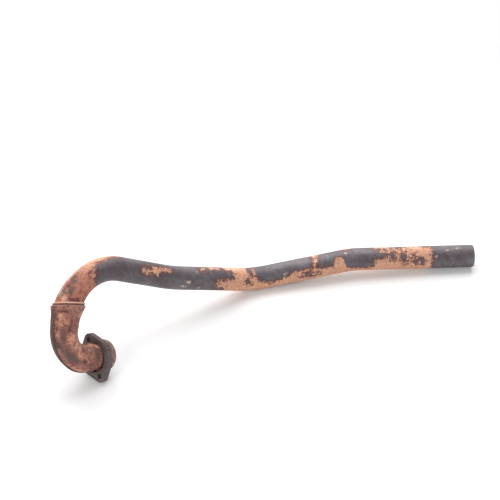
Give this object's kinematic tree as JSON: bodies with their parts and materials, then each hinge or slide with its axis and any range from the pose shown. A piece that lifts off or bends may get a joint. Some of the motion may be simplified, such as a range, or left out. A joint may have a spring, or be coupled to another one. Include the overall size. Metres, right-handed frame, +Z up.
{
  "type": "exhaust header pipe",
  "caption": "Rusty bent exhaust header pipe: round tube with a clamshell elbow jacket, a two-bolt oval port flange and a plain tail end.",
  "frame": {"origin": "where the port axis meets the port flange's gasket side, at the foot of the collar that enters the port", "axes": "+Z up as the pipe lies at rest on a level floor; +X the way the tail points, which is the longest extent; the port axis points to +X, +Y and down"},
  "size_m": [0.6964, 0.2796, 0.1683],
  "materials": {
    "rusted_tube": "matte",
    "rusted_sheet": "matte",
    "dark_plate": "matte",
    "rusted_ring": "matte"
  },
  "bodies": {
    "root": {"header_pipe": "rusted_tube", "jacket_front": "rusted_sheet", "jacket_back": "rusted_sheet", "port_flange": "dark_plate", "port_collar": "rusted_ring"}
  },
  "joints": []
}
